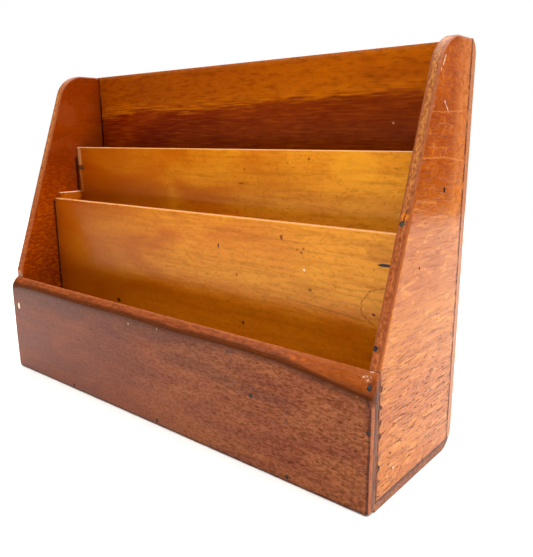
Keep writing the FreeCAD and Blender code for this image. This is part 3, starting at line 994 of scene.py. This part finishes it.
def front_board():
    """Front board: a planed bevel that deepens to the right, soft arrises, worn bottom corners and painted
    shade under the bevel.
    """
    low = FRONT_LOW
    high = FRONT_HIGH
    middle = (low.z + high.z) / 2

    def left_wear(x):
        return 1 - smooth_step(0, LEFT_WEAR_LENGTH, x - low.x)

    def bevel(x):
        deep = max(0.0, 1 - (high.x - x) / DEEP_BEVEL_LENGTH)
        waver = BEVEL_WAVER * ripple((x, 0, 0), 38 * MM)
        soft = SOFT_ARRIS + deep * (SOFT_ARRIS_RIGHT - SOFT_ARRIS)
        soft += left_wear(x) * (SOFT_ARRIS_LEFT - SOFT_ARRIS)
        return BEVEL_DROP + deep * (BEVEL_DROP_RIGHT - BEVEL_DROP) + waver, soft

    def section(x, shrink):
        drop, soft = bevel(x)
        gap = max(0.0, FRONT_CORNER_RADIUS - min(x - low.x, high.x - x))
        lift = FRONT_CORNER_RADIUS - math.sqrt(FRONT_CORNER_RADIUS ** 2 - gap ** 2)
        nick = 0.15 * MM * ripple((x, 3, 0), 6 * MM)
        corners = [
            Vector((low.y + shrink, low.z + lift)),
            Vector((high.y, low.z + lift)),
            Vector((high.y, high.z + nick - shrink / 6)),
            Vector((low.y + shrink, high.z - drop - shrink / 6)),
        ]
        foot = (0.9 + 0.3 * ripple((x, 9, 0), 12 * MM)) * MM
        return corners, [foot, 0.3 * MM, 0.6 * MM, soft]

    def marks(x, point):
        top_arris = math.exp(-((point.y - high.z) / (0.6 * MM)) ** 2)
        # Painted shade on the face just under the bevel, carried by the dirt_and_shade mark.
        below = high.z - bevel(x)[0] - point.y + 0.4 * MM * ripple((x, 5, 0), 14 * MM)
        shade_under_bevel = smooth_step(-1.5 * MM, -0.7 * MM, below) * smooth_step(4.4 * MM, 1.4 * MM, below)
        left_end = 0.8 * smooth_step(low.x + 0.9 * MM, low.x + 0.1 * MM, x)
        return top_arris, max(0.85 * shade_under_bevel, left_end)

    def place(point):
        x, y, z = point
        bow = LEFT_END_BOW * max(0.0, (middle - z) / middle) ** 2
        return Vector((x + bow * left_wear(x), y, z))

    mesh = plank("front_board", section, marks, LEFT_END_ARRIS, RIGHT_END_ARRIS, place)
    cutters = pits("front_nails_right", TO_BACK, (1.0, 1.1)) + pits("front_bottom_nails", TO_BACK, (0.9,) * 3)
    board("front_board", mesh, front_wood, cutters)


def back_board():
    """Back board, rounded with the rack's rear corners, its inner edge as high as the sides' tops."""

    def section(x, shrink):
        lower = arc(BOTTOM_CORNER, REAR_BOTTOM_RADIUS - shrink, BASE_TOP_ANGLE, 0.0)
        upper = arc(TOP_CORNER, REAR_TOP_RADIUS - shrink, 0.0, BACK_INNER_ANGLE)
        for point in upper:
            point.y = TOP_CORNER.y + (point.y - TOP_CORNER.y) / math.sin(BACK_INNER_ANGLE)
        corners = [*lower, *upper, Vector((SIDE_REAR, SIDE_FOOT))]
        return corners, [0.0] * len(corners)

    def marks(x, point):
        return 0.7 * smooth_step(TOP - 2 * MM, TOP, point.y), 0.0

    mesh = plank("back_board", section, marks, REAR_END_ARRIS, REAR_END_ARRIS)
    cutters = pits("back_nails_left", TO_FRONT, (1.1,) * 4) + pits("back_nails_right", TO_FRONT, (1.1,) * 4)
    board("back_board", mesh, dark_wood, cutters)


def base_board():
    """Base board, its ends showing under the sides and its rear edge rounded."""

    def section(x, shrink):
        front = [Vector((BASE_LOW.y, BASE_HIGH.z)), Vector((BASE_LOW.y, BASE_LOW.z + shrink))]
        corners = front + arc(BOTTOM_CORNER, REAR_BOTTOM_RADIUS - shrink, -math.pi / 2, BASE_TOP_ANGLE)
        return corners, [0.0] * len(corners)

    def marks(x, point):
        return 0.0, 0.0

    mesh = plank("base_board", section, marks, REAR_END_ARRIS, REAR_END_ARRIS)
    cutters = pits("base_nails_left", UPWARD, (1.1, 1.1)) + pits("base_nails_right", UPWARD, (1.1, 1.1))
    board("base_board", mesh, base_wood, cutters)


def rectangle(low, high, first, second):
    """Corners of a box across two of its axes."""
    sides = ((low, low), (high, low), (high, high), (low, high))
    return [Vector((u[first], v[second])) for u, v in sides]


def divider(node, left_lean, cutters):
    """Thin divider with a rubbed top edge and a worn left end, which leans in towards the bottom."""
    low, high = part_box(node)
    low = Vector((-SIDE_INNER + DIVIDER_PLAY, high.y - DIVIDER_THICKNESS, low.z))
    high.x = SIDE_INNER

    def arris(point):
        rough = 1 + 0.3 * ripple(point, 7 * MM, 5.0)
        if point.y > high.z - DIVIDER_CORNER:
            return 0.7 * MM * rough, 0.6 * MM * rough, 1.0, 0.0
        if point.x < low.x + DIVIDER_CORNER:
            return (1.1 + 0.5 * rough) * MM, 0.3 * MM, 1.0, 0.0
        return 0.4 * MM * rough, 0.3 * MM, 0.6, 0.3

    def place(u, v, w):
        lean = min(left_lean * (high.z - v), MOST_LEAN)
        return Vector((u + lean * (high.x - u) / (high.x - low.x), w, v))

    mesh = slab(node, rectangle(low, high, 0, 2), [DIVIDER_CORNER] * 4, place, (low.y, high.y), arris)
    board(node, mesh, honey, cutters)


def spacer(node, pin_row, way):
    """Upright strip between the dividers."""
    low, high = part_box(node)

    def arris(point):
        return 0.2 * MM, 0.5 * MM * (1 + 0.3 * ripple(point, 5 * MM)), 0.8, 0.0

    def place(u, v, w):
        return Vector((u, v, w))

    mesh = slab(node, rectangle(low, high, 0, 1), [0.4 * MM] * 4, place, (low.z, high.z), arris)
    board(node, mesh, honey, pits(pin_row, way, (0.9, 0.9)))


side("left_side", -HALF_WIDTH, -SIDE_INNER, KNEE + LEFT_KNEE_RISE, LEFT_RUB,
     pits("front_divider_nails_left", TO_RIGHT, (1.0, 1.0))
     + pits("rear_divider_nails_left", TO_RIGHT, (1.0,) * 3))
side("right_side", HALF_WIDTH, SIDE_INNER, KNEE, 1.0,
     pits("front_divider_nails_right", TO_LEFT, (0, 0.6))
     + pits("rear_divider_nails_right", TO_LEFT, (0.5, 0.45, 1.15))
     + pits("side_edge_nails", SLOPE.cross(TO_RIGHT), (1.15, 1.1)))
front_board()
back_board()
base_board()
divider("front_divider", 0.0, [pit(DIVIDER_NICK, TO_BACK, 1.0 * MM)])
divider("rear_divider", 0.06, [])
spacer("spacer_left", "spacer_pins_left", TO_LEFT)
spacer("spacer_right", "spacer_pins_right", TO_RIGHT)

for name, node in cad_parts.items():
    if "nails" in name or "pins" in name:
        node.data.materials.clear()
        node.data.materials.append(iron)


# Studio

def floor():
    """Plain pale floor."""
    shape = bmesh.new()
    bmesh.ops.create_circle(shape, cap_ends=True, segments=96, radius=FLOOR_RADIUS)
    mesh = bpy.data.meshes.new("floor")
    shape.to_mesh(mesh)
    shape.free()
    made = added("floor", mesh)
    s = Nodes(bpy.data.materials.new("pale_floor"))
    mottle = s.figure((25, 25, 25), 3.0)
    s.colour = s.mix(mottle, rgb(244, 244, 244), rgb(250, 250, 250))
    mesh.materials.append(s.finish(0.8, mottle, 0.02))


def soft_box(name, place, target, size, power):
    """Square soft light that faces a point and isn't mirrored in the polish."""
    light = bpy.data.lights.new(name, "AREA")
    light.shape = "SQUARE"
    light.size = size
    light.energy = power
    made = added(name, light)
    made.location = place
    made.rotation_euler = (Vector(target) - Vector(place)).to_track_quat("-Z", "Y").to_euler()
    made.visible_glossy = False


def surroundings():
    """Soft sky over a dark horizon, with a white backdrop, plain where the camera sees it."""
    world = bpy.data.worlds.new("studio")
    bpy.context.scene.world = world
    s = Nodes(world)
    sky = s.band(s.vector("DOT_PRODUCT", s.direction, SKY_MIDDLE, result="Value"), 0.40, 0.97)
    behind = s.band(s.vector("DOT_PRODUCT", s.direction, BACKDROP_MIDDLE, result="Value"), 0.60, 0.635)
    strength = s.plus(0.04, s.times(sky, 3.6), s.times(behind, 0.8))
    room = s.node("Background", {"Color": (1.0, 0.98, 0.95, 1.0), "Strength": strength})
    backdrop = s.node("Background", {"Color": (1.0, 1.0, 1.0, 1.0), "Strength": 1.0})
    seen = s.node("LightPath").outputs["Is Camera Ray"]
    either = s.node("MixShader", {0: seen, 1: room.outputs[0], 2: backdrop.outputs[0]})
    s.node("OutputWorld", {"Surface": either.outputs[0]})


def camera():
    """Camera at the photograph's place and angle."""
    lens = bpy.data.cameras.new("camera")
    lens.sensor_width = SENSOR
    lens.lens = SENSOR * FOCAL_PIXELS / IMAGE_LONG_SIDE
    lens.clip_start = 0.01
    made = added("camera", lens)
    turn = Matrix.Rotation(CAMERA_TURN, 3, "Z")
    tilt = Matrix.Rotation(math.pi / 2 - CAMERA_TILT, 3, "X")
    roll = Matrix.Rotation(CAMERA_ROLL, 3, "Z")
    made.matrix_world = Matrix.Translation(CAMERA_PLACE) @ (turn @ tilt @ roll).to_4x4()
    bpy.context.scene.camera = made


floor()
surroundings()
soft_box("front_fill", (-0.5, -1.5, 1.3), (0, 0, 0.09), 1.0, 6)
camera()
bpy.context.scene.view_settings.view_transform = "Standard"
